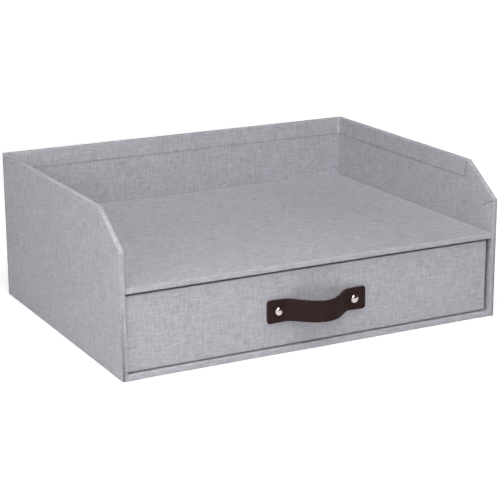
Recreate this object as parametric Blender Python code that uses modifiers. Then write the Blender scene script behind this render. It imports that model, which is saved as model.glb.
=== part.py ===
"""File box: an open paper tray with sloping front corners over one pull-out drawer.

It is made as rigid paper boxes are: flat panels of grey board, lined with paper and covered with
a woven-look cover paper that is turned in over every edge.

Metres, +Z up. The origin is the middle of the footprint on the table, +X is right, -Y is the front.
"""

import math

import bmesh
import bpy
from mathutils import Vector
from mathutils.geometry import intersect_point_line

# Papers and boards
COVER_PAPER = 0.0003
LINING_PAPER = 0.0003
GLUE_GAP = 0.0001
WALL_BOARD = 0.003
FLOOR_BOARD = 0.0038
DRAWER_BOARD = 0.0022
TURN_IN = 0.015
BOARD_EDGE_ROUND = 0.0005
LINING_SETBACK = 0.001
UNDERSIDE_SETBACK = 0.004
SEAM_GAP = 0.0003
MITRE_GAP = 0.0006

# Housing
BOX_WIDTH = 0.335
BOX_DEPTH = 0.25
BOX_HEIGHT = 0.126
SLOPE_RUN = 0.0384
SLOPE_DROP = 0.026
BAY_HEIGHT = 0.062
HOUSING_CORNER_BRIDGE = 0.0025

# Drawer
DRAWER_RECESS = 0.003
DRAWER_SIDE_CLEARANCE = 0.0021
DRAWER_LEFTWARD_SHARE = 0.62
DRAWER_TOP_CLEARANCE = 0.0017
DRAWER_BACK_CLEARANCE = 0.001
DRAWER_REST_GAP = 0.0004
DRAWER_CORNER_BRIDGE = 0.0015

# Handle strap
STRAP_LENGTH = 0.088
STRAP_END_WIDTH = 0.0195
STRAP_WAIST_WIDTH = 0.018
STRAP_THICKNESS = 0.0022
STRAP_CORNER_ROUND = 0.0022
STRAP_EDGE_ROUND = 0.0004
STRAP_MIDDLE_RISE = 0.0296
FINGER_GAP = 0.0176
BOW_LENGTH = 0.058
TOE_REACH = 0.007
CROWN_REACH = 0.0135
WAIST_REACH = 0.02

# Rivets
RIVET_SPACING = 0.0677
RIVET_CAP_WIDTH = 0.0069
RIVET_CAP_HEIGHT = 0.0017
RIVET_CAP_RIM = 0.0004
RIVET_SHANK_WIDTH = 0.003
RIVET_HOLE_CLEARANCE = 0.0002
RIVET_TAIL_WIDTH = 0.0046
RIVET_TAIL_HEIGHT = 0.0008
WASHER_WIDTH = 0.008
WASHER_THICKNESS = 0.0006

# Modelling
OVERRUN = 0.002
WELD_DISTANCE = 0.00001
SHARP_ANGLE = math.radians(40)
FLAT_ANGLE = math.radians(1)
ROUND_PROFILE_SHARE = 0.5
FOLD_SEGMENTS = 3
BRIDGE_SEGMENTS = 4
CORNER_SEGMENTS = 6
BOW_RESOLUTION = 12
ROUND_STEPS = 40
DOME_STEPS = 8

# Turns that stand a flat outline up
SIDEWAYS = (math.pi / 2, 0, math.pi / 2)
FACING_FRONT = (math.pi / 2, 0, 0)

# Worked out from the sizes above
SKIN = COVER_PAPER + GLUE_GAP
FOLD_ROUND = BOARD_EDGE_ROUND + SKIN
HALF_WIDTH = BOX_WIDTH / 2
HALF_DEPTH = BOX_DEPTH / 2
SLOPE_ANGLE = math.atan2(SLOPE_DROP, SLOPE_RUN)
HOUSING_WRAP_BOTTOM = LINING_PAPER + GLUE_GAP
BASE_BOARD_BOTTOM = HOUSING_WRAP_BOTTOM + SKIN
BASE_BOARD_TOP = BASE_BOARD_BOTTOM + FLOOR_BOARD
BAY_FLOOR = BASE_BOARD_TOP + SKIN
BAY_ROOF = BAY_FLOOR + BAY_HEIGHT
SHELF_BOTTOM = BAY_ROOF + LINING_PAPER + GLUE_GAP
SHELF_BOARD_BOTTOM = SHELF_BOTTOM + SKIN
SHELF_BOARD_TOP = SHELF_BOARD_BOTTOM + FLOOR_BOARD
TRAY_FLOOR = SHELF_BOARD_TOP + SKIN
DRAWER_BOTTOM = BAY_FLOOR + DRAWER_REST_GAP
DRAWER_WRAP_BOTTOM = DRAWER_BOTTOM + LINING_PAPER + GLUE_GAP
DRAWER_TOP = BAY_ROOF - DRAWER_TOP_CLEARANCE
DRAWER_BASE_BOARD_TOP = DRAWER_WRAP_BOTTOM + SKIN + DRAWER_BOARD
DRAWER_FLOOR = DRAWER_BASE_BOARD_TOP + GLUE_GAP + LINING_PAPER
HANDLE_HEIGHT = DRAWER_BOTTOM + STRAP_MIDDLE_RISE


class Walls:
    """Where the layers of a box's walls lie, each depth counted in from the outer face."""

    def __init__(self, half_width, front, back, bottom, top, board):
        self.half_width = half_width
        self.front = front
        self.back = back
        self.bottom = bottom
        self.top = top
        self.board_outside = SKIN
        self.board_inside = SKIN + board
        self.lining_outside = self.board_inside + GLUE_GAP
        self.lining_inside = self.lining_outside + LINING_PAPER
        self.flap_outside = self.lining_inside + GLUE_GAP
        self.flap_inside = self.flap_outside + COVER_PAPER
        self.board_middle = SKIN + board / 2


HOUSING = Walls(HALF_WIDTH, -HALF_DEPTH, HALF_DEPTH, HOUSING_WRAP_BOTTOM, BOX_HEIGHT, WALL_BOARD)
FLOOR_HALF_WIDTH = HALF_WIDTH - HOUSING.flap_inside - GLUE_GAP
FLOOR_BACK = HALF_DEPTH - HOUSING.lining_inside - GLUE_GAP
DRAWER = Walls(
    HALF_WIDTH - HOUSING.flap_inside - DRAWER_SIDE_CLEARANCE,
    -HALF_DEPTH + DRAWER_RECESS,
    HALF_DEPTH - HOUSING.lining_inside - DRAWER_BACK_CLEARANCE,
    DRAWER_WRAP_BOTTOM,
    DRAWER_TOP,
    DRAWER_BOARD,
)


# Scene and materials


def clear_scene():
    for old in list(bpy.data.objects):
        bpy.data.objects.remove(old, do_unlink=True)


def add_collection(name):
    collection = bpy.data.collections.new(name)
    bpy.context.scene.collection.children.link(collection)
    return collection


clear_scene()
PARTS = add_collection("file_box_with_drawer")
CUTTERS = add_collection("cutters")


def add_material(name, colour, roughness, metallic=0.0):
    material = bpy.data.materials.new(name)
    material.use_nodes = True
    shader = material.node_tree.nodes["Principled BSDF"]
    shader.inputs["Base Color"].default_value = (*colour, 1.0)
    shader.inputs["Roughness"].default_value = roughness
    shader.inputs["Metallic"].default_value = metallic
    material.diffuse_color = (*colour, 1.0)
    return material


def cover_material():
    return add_material("grey_woven_cover", (0.41, 0.41, 0.44), 0.85)


def lining_material():
    return add_material("pale_grey_lining", (0.4, 0.4, 0.435), 0.86)


def backing_material():
    return add_material("dark_backing_paper", (0.19, 0.19, 0.205), 0.8)


def board_material():
    return add_material("grey_board", (0.3, 0.28, 0.26), 0.95)


def leather_material():
    return add_material("dark_brown_leather", (0.035, 0.022, 0.021), 0.5)


def nickel_material():
    return add_material("bright_nickel", (0.72, 0.71, 0.69), 0.2, 1.0)


# Making and changing solids


def add_object(name, mesh, collection=PARTS):
    made = bpy.data.objects.new(name, mesh)
    collection.objects.link(made)
    if collection == CUTTERS:
        made.hide_render = True
        made.display_type = "WIRE"
    return made


def add_box(name, low, high, collection=PARTS):
    """A box between two opposite corners, with its object's origin at its middle."""
    low = Vector(low)
    high = Vector(high)
    shape = bmesh.new()
    bmesh.ops.create_cube(shape, size=1)
    bmesh.ops.scale(shape, vec=high - low, verts=shape.verts)
    mesh = bpy.data.meshes.new(name)
    shape.to_mesh(mesh)
    shape.free()
    made = add_object(name, mesh, collection)
    made.location = (low + high) / 2
    return made


def add_curve(name, half_width, fill):
    """An empty flat curve, drawn out by half_width to both sides of its plane."""
    curve = bpy.data.curves.new(name, "CURVE")
    curve.dimensions = "2D"
    curve.fill_mode = fill
    curve.extrude = half_width
    return curve


def add_corners(curve, corners, closed):
    spline = curve.splines.new("POLY")
    spline.points.add(len(corners) - 1)
    for point, (across, along) in zip(spline.points, corners):
        point.co = (across, along, 0, 1)
    spline.use_cyclic_u = closed


def add_bends(curve, bends, closed):
    """Bezier points from (place, handle before, handle after) triples of flat coordinates."""
    spline = curve.splines.new("BEZIER")
    spline.bezier_points.add(len(bends) - 1)
    for point, (place, before, after) in zip(spline.bezier_points, bends):
        point.handle_left_type = "FREE"
        point.handle_right_type = "FREE"
        point.co = (*place, 0)
        point.handle_left = (*before, 0)
        point.handle_right = (*after, 0)
    spline.use_cyclic_u = closed


def clean(shape):
    """Welds the doubled points and merges the flat neighbours of a mesh being edited."""
    bmesh.ops.remove_doubles(shape, verts=shape.verts, dist=WELD_DISTANCE)
    bmesh.ops.dissolve_limit(shape, angle_limit=FLAT_ANGLE, verts=shape.verts, edges=shape.edges)


def settled(source, name, collection=PARTS):
    """A plain mesh of what a curve or an object with modifiers shows. The source is removed."""
    bpy.context.view_layer.update()
    graph = bpy.context.evaluated_depsgraph_get()
    mesh = bpy.data.meshes.new_from_object(source.evaluated_get(graph))
    shape = bmesh.new()
    shape.from_mesh(mesh)
    clean(shape)
    shape.to_mesh(mesh)
    shape.free()
    mesh.shade_flat()
    placed = source.matrix_world.copy()
    bpy.data.objects.remove(source, do_unlink=True)
    mesh.name = name
    made = add_object(name, mesh, collection)
    made.matrix_world = placed
    return made


def add_from_curve(name, curve, turn, location, collection=PARTS):
    drawn = add_object(name + "_curve", curve, CUTTERS)
    drawn.rotation_euler = turn
    drawn.location = location
    return settled(drawn, name, collection)


def add_plate(name, corners, thickness, turn, location, collection=PARTS):
    """A flat panel with straight edges, drawn in its own plane and then stood up."""
    curve = add_curve(name, thickness / 2, "BOTH")
    add_corners(curve, corners, True)
    return add_from_curve(name, curve, turn, location, collection)


def add_folded_sheet(name, corners, width, thickness, turn, location, closed=False):
    """A sheet that follows a line through the middle of its thickness, with rounded folds."""
    curve = add_curve(name, width / 2, "NONE")
    add_corners(curve, corners, closed)
    sheet = add_from_curve(name, curve, turn, location)
    round_by_modifier(sheet, FOLD_ROUND - thickness / 2)
    thicken(sheet, thickness)
    return sheet


def thicken(sheet, thickness):
    solidify = sheet.modifiers.new("thickness", "SOLIDIFY")
    solidify.thickness = thickness
    solidify.offset = 0
    solidify.use_even_offset = True


def round_by_modifier(solid, radius, segments=FOLD_SEGMENTS):
    bevel = solid.modifiers.new("rounded_edges", "BEVEL")
    bevel.width = radius
    bevel.segments = segments
    bevel.limit_method = "ANGLE"
    bevel.angle_limit = SHARP_ANGLE


def is_sharp(edge):
    return edge.calc_face_angle(0) > SHARP_ANGLE


def round_edges(solid, radius, segments, chosen):
    """Rounds the sharp edges for which chosen(middle, direction) is true, in the world's directions."""
    bpy.context.view_layer.update()
    placed = solid.matrix_world
    turned = placed.to_3x3()
    shape = bmesh.new()
    shape.from_mesh(solid.data)
    picked = []
    for edge in filter(is_sharp, shape.edges):
        first, second = (corner.co for corner in edge.verts)
        middle = placed @ ((first + second) / 2)
        direction = (turned @ (second - first)).normalized()
        if chosen(middle, direction):
            picked.append(edge)
    bmesh.ops.bevel(
        shape,
        geom=picked,
        offset=radius,
        offset_type="OFFSET",
        segments=segments,
        profile=ROUND_PROFILE_SHARE,
        affect="EDGES",
    )
    shape.to_mesh(solid.data)
    shape.free()


def is_upright(middle, direction):
    return abs(direction.z) > abs(direction.x) + abs(direction.y)


def is_from_front_to_back(middle, direction):
    return abs(direction.y) > abs(direction.x) + abs(direction.z)


def every_edge(middle, direction):
    return True


def is_on_outline(place, outline):
    """Whether a flat place lies on a side of an outline that bulges out all round."""
    for start, end in zip(outline, outline[1:] + outline[:1]):
        nearest = intersect_point_line(place, Vector(start), Vector(end))[0]
        if (place - nearest).length < COVER_PAPER:
            return True
    return False


def combine(solid, other, operation):
    boolean = solid.modifiers.new(other.name, "BOOLEAN")
    boolean.operation = operation
    boolean.solver = "EXACT"
    boolean.object = other


def cut(solid, cutter):
    combine(solid, cutter, "DIFFERENCE")


def smoothed(solid):
    """The finished solid as a plain mesh, shaded smooth between its sharp edges."""
    name = solid.name
    made = settled(solid, name)
    made.name = name
    made.data.shade_smooth()
    made.data.set_sharp_from_angle(angle=SHARP_ANGLE)
    return made


def paint(solid, material):
    solid.data.materials.clear()
    solid.data.materials.append(material)


# Panels of board and sheets of lining


def add_board(name, low, high):
    board = add_box(name, low, high)
    round_by_modifier(board, BOARD_EDGE_ROUND)
    return board


def side_outline(inset):
    """The housing's side as (y, z) points, up the front and over the slope, moved in by inset."""
    low_shift = inset * math.tan((math.pi / 2 - SLOPE_ANGLE) / 2)
    high_shift = inset * math.tan(SLOPE_ANGLE / 2)
    front = HOUSING.front + inset
    back = HOUSING.back - inset
    bottom = HOUSING.bottom + inset
    top = HOUSING.top - inset
    return [
        (front, bottom),
        (front, HOUSING.top - SLOPE_DROP - low_shift),
        (HOUSING.front + SLOPE_RUN + high_shift, top),
        (back, top),
        (back, bottom),
    ]


def add_side_board(name, side):
    middle = side * (HALF_WIDTH - HOUSING.board_middle)
    board = add_plate(name, side_outline(SKIN), WALL_BOARD, SIDEWAYS, (middle, 0, 0))
    round_by_modifier(board, BOARD_EDGE_ROUND)
    return board


def add_back_board():
    half = HALF_WIDTH - HOUSING.board_inside - GLUE_GAP
    return add_board(
        "back_board",
        (-half, HALF_DEPTH - HOUSING.board_inside, BASE_BOARD_BOTTOM),
        (half, HALF_DEPTH - SKIN, BOX_HEIGHT - SKIN),
    )


def add_floor_board(name, half_width, back, bottom, top):
    return add_board(name, (-half_width, -HALF_DEPTH + SKIN, bottom), (half_width, back, top))


def add_side_lining(name, side):
    middle = side * (HALF_WIDTH - (HOUSING.lining_outside + HOUSING.lining_inside) / 2)
    outline = side_outline(SKIN + LINING_SETBACK)
    back = HALF_DEPTH - HOUSING.lining_outside
    outline[3] = (back, outline[3][1])
    outline[4] = (back, outline[4][1])
    return add_plate(name, outline, LINING_PAPER, SIDEWAYS, (middle, 0, 0))


def add_back_lining():
    half = HALF_WIDTH - HOUSING.flap_outside
    return add_box(
        "back_lining",
        (-half, HALF_DEPTH - HOUSING.lining_inside, BASE_BOARD_BOTTOM + LINING_SETBACK),
        (half, HALF_DEPTH - HOUSING.lining_outside, BOX_HEIGHT - SKIN - LINING_SETBACK),
    )


def add_sheet_below(name, half_width, front, back, bottom):
    """A flat sheet glued under a wrapped board, set back from its edges to cover the turned-in flaps."""
    return add_box(
        name,
        (-half_width + UNDERSIDE_SETBACK, front + UNDERSIDE_SETBACK, bottom),
        (half_width - UNDERSIDE_SETBACK, back - UNDERSIDE_SETBACK, bottom + LINING_PAPER),
    )


# Covers turned in over the edges


def add_wall_solid(name, walls, outline, inset, floor, bridge, window=None):
    """Walls round a hollow, moved in by inset on every covered face, with each fold rounded.

    A window is filled up again, down to the bottom.
    """
    half = walls.half_width - inset
    inner_half = walls.half_width - walls.flap_inside + inset
    inner_back = walls.back - walls.flap_inside + inset
    inner_front = walls.front - OVERRUN
    if walls is DRAWER:
        inner_front = walls.front + walls.flap_inside - inset
    hollow = add_box(
        name + "_hollow",
        (-inner_half, inner_front, floor),
        (inner_half, inner_back, walls.top + OVERRUN),
        CUTTERS,
    )
    round_edges(hollow, bridge + inset, BRIDGE_SEGMENTS, is_upright)
    if window:
        cut(hollow, window)
    solid = add_plate(name + "_block", outline, 2 * half, SIDEWAYS, (0, 0, 0), CUTTERS)
    cut(solid, hollow)
    solid = settled(solid, name, CUTTERS)
    bpy.data.objects.remove(hollow, do_unlink=True)

    def is_fold(middle, direction):
        outermost = abs(middle.x) > half - COVER_PAPER or middle.y > walls.back - inset - COVER_PAPER
        if walls is DRAWER:
            outermost = outermost or middle.y < walls.front + inset + COVER_PAPER
        above_floor = middle.z > walls.bottom + SKIN
        return outermost or (above_floor and is_on_outline(middle.yz, outline))

    round_edges(solid, FOLD_ROUND - inset, FOLD_SEGMENTS, is_fold)
    return solid


def add_wrap(name, walls, outline_of, window, bridge):
    """The cover of a set of walls: outside, over the edges, and turned in as flaps inside and below."""
    floor = walls.bottom + COVER_PAPER
    wrap = add_wall_solid(name, walls, outline_of(0), 0, floor + GLUE_GAP / 2, bridge)
    inside = add_wall_solid(
        name + "_inside",
        walls,
        outline_of(COVER_PAPER),
        COVER_PAPER,
        floor - OVERRUN,
        bridge,
        window,
    )
    CUTTERS.objects.unlink(wrap)
    PARTS.objects.link(wrap)
    wrap.hide_render = False
    wrap.display_type = "TEXTURED"
    below_front = walls.front - OVERRUN
    if walls is DRAWER:
        below_front = walls.front + TURN_IN
    below = add_box(
        name + "_below",
        (-walls.half_width + TURN_IN, below_front, walls.bottom - OVERRUN),
        (walls.half_width - TURN_IN, walls.back - TURN_IN, floor + OVERRUN),
        CUTTERS,
    )
    cut(wrap, inside)
    cut(wrap, below)
    return wrap


def housing_window():
    """What is left open inside the flaps: the walls' outline less the turn-in, past the bottom."""
    corners = side_outline(TURN_IN)
    back = HALF_DEPTH - HOUSING.board_middle
    low = HOUSING.bottom - OVERRUN
    corners[0] = (corners[0][0], low)
    corners[3] = (back, corners[3][1])
    corners[4] = (back, low)
    width = 2 * (HALF_WIDTH - HOUSING.board_middle)
    return add_plate("outer_wrap_window", corners, width, SIDEWAYS, (0, 0, 0), CUTTERS)


def add_mitre_knife(name, side, corner):
    """Parts the flaps that meet at one corner of the slope, from the fold to the flap's edge."""
    start = Vector(side_outline(FOLD_ROUND + MITRE_GAP)[corner])
    end = Vector(side_outline(TURN_IN + OVERRUN)[corner])
    middle = (start + end) / 2
    half_length = (end - start).length / 2
    inside = HALF_WIDTH - HOUSING.flap_inside - OVERRUN
    outside = HALF_WIDTH - HOUSING.flap_outside + GLUE_GAP / 2
    knife = add_box(
        name,
        (inside, -half_length, -MITRE_GAP / 2),
        (outside, half_length, MITRE_GAP / 2),
        CUTTERS,
    )
    knife.location = (side * (inside + outside) / 2, middle.x, middle.y)
    knife.rotation_euler = (math.atan2(end.y - start.y, end.x - start.x), 0, 0)
    return knife


def add_outer_wrap():
    wrap = add_wrap("outer_wrap", HOUSING, side_outline, housing_window(), HOUSING_CORNER_BRIDGE)
    for word, side in (("left", -1), ("right", 1)):
        for place, corner in (("low", 1), ("high", 2)):
            cut(wrap, add_mitre_knife(f"mitre_{word}_{place}", side, corner))
    return wrap


def drawer_outline(inset):
    return [
        (DRAWER.front + inset, DRAWER.bottom + inset),
        (DRAWER.front + inset, DRAWER.top - inset),
        (DRAWER.back - inset, DRAWER.top - inset),
        (DRAWER.back - inset, DRAWER.bottom + inset),
    ]


def drawer_window():
    half = DRAWER.half_width - DRAWER.board_middle
    return add_box(
        "drawer_wrap_window",
        (-half, DRAWER.front + DRAWER.board_middle, DRAWER.bottom - OVERRUN),
        (half, DRAWER.back - DRAWER.board_middle, DRAWER.top - TURN_IN),
        CUTTERS,
    )


def add_drawer_wrap():
    return add_wrap("drawer_wrap", DRAWER, drawer_outline, drawer_window(), DRAWER_CORNER_BRIDGE)


def add_shelf_cover():
    """The cover of the tray floor, wrapped over all four edges and turned in underneath."""
    low = Vector((-FLOOR_HALF_WIDTH, -HALF_DEPTH, SHELF_BOTTOM))
    high = Vector((FLOOR_HALF_WIDTH, FLOOR_BACK, TRAY_FLOOR))
    paper = Vector((COVER_PAPER, COVER_PAPER, COVER_PAPER))
    cover = add_box("shelf_cover", low, high)
    round_edges(cover, FOLD_ROUND, FOLD_SEGMENTS, every_edge)
    inside = add_box("shelf_cover_inside", low + paper, high - paper, CUTTERS)
    round_edges(inside, FOLD_ROUND - COVER_PAPER, FOLD_SEGMENTS, every_edge)
    window = add_box(
        "shelf_cover_window",
        (low.x + TURN_IN, low.y + TURN_IN, low.z - OVERRUN),
        (high.x - TURN_IN, high.y - TURN_IN, low.z + COVER_PAPER + GLUE_GAP / 2),
        CUTTERS,
    )
    cut(cover, inside)
    cut(cover, window)
    return cover


def add_base_cover():
    """The bay's floor: one sheet over the base board, down its front edge and turned in below."""
    front = -HALF_DEPTH + COVER_PAPER / 2
    top = BAY_FLOOR - COVER_PAPER / 2
    bottom = HOUSING.bottom + COVER_PAPER / 2
    line = [(FLOOR_BACK, top), (front, top), (front, bottom), (-HALF_DEPTH + TURN_IN, bottom)]
    cover = add_folded_sheet(
        "base_cover", line, 2 * FLOOR_HALF_WIDTH, COVER_PAPER, SIDEWAYS, (0, 0, 0)
    )
    flap_half = HALF_WIDTH - TURN_IN - SEAM_GAP
    for word, side in (("left", -1), ("right", 1)):
        ends = sorted((side * flap_half, side * (HALF_WIDTH + OVERRUN)))
        notch = add_box(
            f"base_cover_notch_{word}",
            (ends[0], -HALF_DEPTH - OVERRUN, -OVERRUN),
            (ends[1], -HALF_DEPTH + TURN_IN + OVERRUN, HOUSING.bottom + SKIN),
            CUTTERS,
        )
        cut(cover, notch)
    return cover


# Drawer panels


def add_drawer_end_board(name, low_y, high_y):
    half = DRAWER.half_width - SKIN
    return add_board(
        name, (-half, low_y, DRAWER.bottom + SKIN), (half, high_y, DRAWER.top - SKIN)
    )


def add_drawer_side_board(name, side):
    outside = side * (DRAWER.half_width - DRAWER.board_outside)
    inside = side * (DRAWER.half_width - DRAWER.board_inside)
    low_x, high_x = sorted((outside, inside))
    front = DRAWER.front + DRAWER.board_inside + GLUE_GAP
    back = DRAWER.back - DRAWER.board_inside - GLUE_GAP
    return add_board(
        name, (low_x, front, DRAWER.bottom + SKIN), (high_x, back, DRAWER.top - SKIN)
    )


def add_drawer_base_board():
    depth = DRAWER.lining_outside
    return add_board(
        "drawer_base_board",
        (-DRAWER.half_width + depth, DRAWER.front + depth, DRAWER.bottom + SKIN),
        (DRAWER.half_width - depth, DRAWER.back - depth, DRAWER_BASE_BOARD_TOP),
    )


def add_drawer_floor_lining():
    depth = DRAWER.lining_outside
    return add_box(
        "drawer_floor_lining",
        (-DRAWER.half_width + depth, DRAWER.front + depth, DRAWER_BASE_BOARD_TOP + GLUE_GAP),
        (DRAWER.half_width - depth, DRAWER.back - depth, DRAWER_FLOOR),
    )


def add_drawer_wall_lining():
    """One strip folded round the four walls, its ends meeting in the back right corner."""
    depth = (DRAWER.lining_outside + DRAWER.lining_inside) / 2
    half = DRAWER.half_width - depth
    front = DRAWER.front + depth
    back = DRAWER.back - depth
    bottom = DRAWER_FLOOR + GLUE_GAP
    top = DRAWER.top - SKIN - LINING_SETBACK
    line = [
        (half, back - SEAM_GAP),
        (half, front),
        (-half, front),
        (-half, back),
        (half - SEAM_GAP, back),
    ]
    middle = (bottom + top) / 2
    return add_folded_sheet(
        "drawer_wall_lining", line, top - bottom, LINING_PAPER, (0, 0, 0), (0, 0, middle)
    )


# Handle strap and rivets


def rivet_places():
    return (("left", -RIVET_SPACING / 2), ("right", RIVET_SPACING / 2))


def strap_face():
    """Where the back of the strap's flat ends lies, just in front of the drawer's face."""
    return DRAWER.front - GLUE_GAP


def strap_outline():
    """The strap from the front: square ends and long edges that draw in to a waist."""
    end = STRAP_LENGTH / 2
    high = STRAP_END_WIDTH / 2
    waist = STRAP_WAIST_WIDTH / 2
    bends = []
    for sign in (-1, 1):
        for place, height in ((-end, high), (0, waist), (end, high)):
            reach = WAIST_REACH
            if place:
                reach = 0
            bends.append((
                (-sign * place, sign * height),
                (-sign * (place - reach), sign * height),
                (-sign * (place + reach), sign * height),
            ))
    return bends


def strap_line():
    """The strap from above, through the middle of its thickness: flat, bowed out, flat."""
    end = STRAP_LENGTH / 2 + OVERRUN
    toe = BOW_LENGTH / 2
    flat = strap_face() - STRAP_THICKNESS / 2
    crown = flat - FINGER_GAP
    return [
        ((-end, flat), (-end, flat), (-end, flat)),
        ((-toe, flat), (-toe, flat), (-toe + TOE_REACH, flat)),
        ((0, crown), (-CROWN_REACH, crown), (CROWN_REACH, crown)),
        ((toe, flat), (toe - TOE_REACH, flat), (toe, flat)),
        ((end, flat), (end, flat), (end, flat)),
    ]


def add_handle_strap():
    line = add_curve("handle_strap", STRAP_END_WIDTH / 2 + OVERRUN, "NONE")
    line.resolution_u = BOW_RESOLUTION
    add_bends(line, strap_line(), False)
    strap = add_from_curve("handle_strap", line, (0, 0, 0), (0, 0, HANDLE_HEIGHT))
    thicken(strap, STRAP_THICKNESS)
    reach = STRAP_THICKNESS + FINGER_GAP + OVERRUN
    trim_curve = add_curve("handle_strap_outline", reach, "BOTH")
    trim_curve.resolution_u = BOW_RESOLUTION
    add_bends(trim_curve, strap_outline(), True)
    trim = add_from_curve(
        "handle_strap_outline", trim_curve, FACING_FRONT, (0, strap_face(), HANDLE_HEIGHT), CUTTERS
    )
    corner = STRAP_LENGTH / 2 - STRAP_CORNER_ROUND

    def is_strap_corner(middle, direction):
        return is_from_front_to_back(middle, direction) and abs(middle.x) > corner

    round_edges(trim, STRAP_CORNER_ROUND, CORNER_SEGMENTS, is_strap_corner)
    combine(strap, trim, "INTERSECT")
    round_by_modifier(strap, STRAP_EDGE_ROUND)
    return strap


def add_turned(name, profile, closed, location):
    """A solid turned from a profile of (radius, height) points, its height pointing to the front."""
    shape = bmesh.new()
    corners = [shape.verts.new((radius, 0, height)) for radius, height in profile]
    for first, second in zip(corners, corners[1:]):
        shape.edges.new((first, second))
    if closed:
        shape.edges.new((corners[-1], corners[0]))
    mesh = bpy.data.meshes.new(name)
    shape.to_mesh(mesh)
    shape.free()
    made = add_object(name, mesh)
    screw = made.modifiers.new("turn", "SCREW")
    screw.axis = "Z"
    screw.steps = ROUND_STEPS
    screw.render_steps = ROUND_STEPS
    screw.use_merge_vertices = True
    screw.merge_threshold = WELD_DISTANCE
    made.location = location
    made.rotation_euler = FACING_FRONT
    return made


def dome(radius, base, height, sign):
    """Points of a low dome from its middle out to its rim."""
    points = []
    for step in range(DOME_STEPS + 1):
        angle = math.pi / 2 * step / DOME_STEPS
        points.append((radius * math.sin(angle), base + sign * height * math.cos(angle)))
    return points


def washer_face():
    """How far behind the strap's back the washer's front face lies, inside the drawer."""
    return GLUE_GAP + DRAWER.lining_inside + GLUE_GAP


def add_rivet(name, place):
    """A domed cap on the strap, a shank through the drawer front and a tail spread over the washer."""
    under_cap = STRAP_THICKNESS + GLUE_GAP
    under_tail = -(washer_face() + WASHER_THICKNESS + GLUE_GAP)
    shank = RIVET_SHANK_WIDTH / 2
    cap = RIVET_CAP_WIDTH / 2
    tail = RIVET_TAIL_WIDTH / 2
    profile = dome(cap, under_cap + RIVET_CAP_RIM, RIVET_CAP_HEIGHT - RIVET_CAP_RIM, 1)
    profile += [(cap, under_cap), (shank, under_cap), (shank, under_tail)]
    profile += reversed(dome(tail, under_tail, RIVET_TAIL_HEIGHT, -1))
    return add_turned(name, profile, False, (place, strap_face(), HANDLE_HEIGHT))


def add_washer(name, place):
    inner = RIVET_SHANK_WIDTH / 2 + RIVET_HOLE_CLEARANCE
    outer = WASHER_WIDTH / 2
    front = -washer_face()
    back = front - WASHER_THICKNESS
    profile = [(outer, front), (outer, back), (inner, back), (inner, front)]
    return add_turned(name, profile, True, (place, strap_face(), HANDLE_HEIGHT))


def add_rivet_drill(word, place):
    """A hole's cutter, from in front of the strap to behind the drawer's front wall."""
    front = STRAP_THICKNESS + RIVET_CAP_HEIGHT
    back = washer_face() + OVERRUN
    shape = bmesh.new()
    radius = RIVET_SHANK_WIDTH / 2 + RIVET_HOLE_CLEARANCE
    bmesh.ops.create_cone(
        shape, cap_ends=True, segments=ROUND_STEPS, radius1=radius, radius2=radius, depth=front + back
    )
    mesh = bpy.data.meshes.new(f"rivet_drill_{word}")
    shape.to_mesh(mesh)
    shape.free()
    drill = add_object(f"rivet_drill_{word}", mesh, CUTTERS)
    drill.rotation_euler = FACING_FRONT
    drill.location = (place, strap_face() + (back - front) / 2, HANDLE_HEIGHT)
    return drill


# Putting it together


def build_housing():
    cover = cover_material()
    lining = lining_material()
    board = board_material()
    papers = [add_outer_wrap(), add_shelf_cover(), add_base_cover()]
    linings = [
        add_side_lining("left_lining", -1),
        add_side_lining("right_lining", 1),
        add_back_lining(),
    ]
    backings = [
        add_sheet_below("shelf_lining", FLOOR_HALF_WIDTH, -HALF_DEPTH, FLOOR_BACK, BAY_ROOF),
        add_sheet_below("underside_sheet", HALF_WIDTH, -HALF_DEPTH, HALF_DEPTH, 0),
    ]
    boards = [
        add_side_board("left_side_board", -1),
        add_side_board("right_side_board", 1),
        add_back_board(),
        add_floor_board(
            "base_board", FLOOR_HALF_WIDTH, FLOOR_BACK, BASE_BOARD_BOTTOM, BASE_BOARD_TOP
        ),
        add_floor_board(
            "shelf_board",
            FLOOR_HALF_WIDTH - SKIN,
            FLOOR_BACK - SKIN,
            SHELF_BOARD_BOTTOM,
            SHELF_BOARD_TOP,
        ),
    ]
    groups = ((papers, cover), (linings, lining), (backings, backing_material()), (boards, board))
    for pieces, material in groups:
        for piece in pieces:
            paint(piece, material)
    return papers + linings + backings + boards


def build_drawer():
    front_back = DRAWER.front + DRAWER.board_inside
    back_front = DRAWER.back - DRAWER.board_inside
    wrap = add_drawer_wrap()
    front = add_drawer_end_board("drawer_front_board", DRAWER.front + SKIN, front_back)
    wall_lining = add_drawer_wall_lining()
    boards = [
        front,
        add_drawer_end_board("drawer_back_board", back_front, DRAWER.back - SKIN),
        add_drawer_side_board("drawer_left_board", -1),
        add_drawer_side_board("drawer_right_board", 1),
        add_drawer_base_board(),
    ]
    linings = [wall_lining, add_drawer_floor_lining()]
    backing = add_sheet_below(
        "drawer_underside_sheet", DRAWER.half_width, DRAWER.front, DRAWER.back, DRAWER_BOTTOM
    )
    strap = add_handle_strap()
    metal = []
    for word, place in rivet_places():
        drill = add_rivet_drill(word, place)
        for drilled in (strap, wrap, front, wall_lining):
            cut(drilled, drill)
        metal.append(smoothed(add_rivet(f"handle_rivet_{word}", place)))
        metal.append(smoothed(add_washer(f"rivet_washer_{word}", place)))
    strap = smoothed(strap)
    groups = (
        ([wrap], cover_material()),
        (linings, lining_material()),
        ([backing], backing_material()),
        (boards, board_material()),
        ([strap], leather_material()),
        (metal, nickel_material()),
    )
    for pieces, material in groups:
        for piece in pieces:
            paint(piece, material)
    return [wrap, strap, backing, *boards, *linings, *metal]


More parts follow.
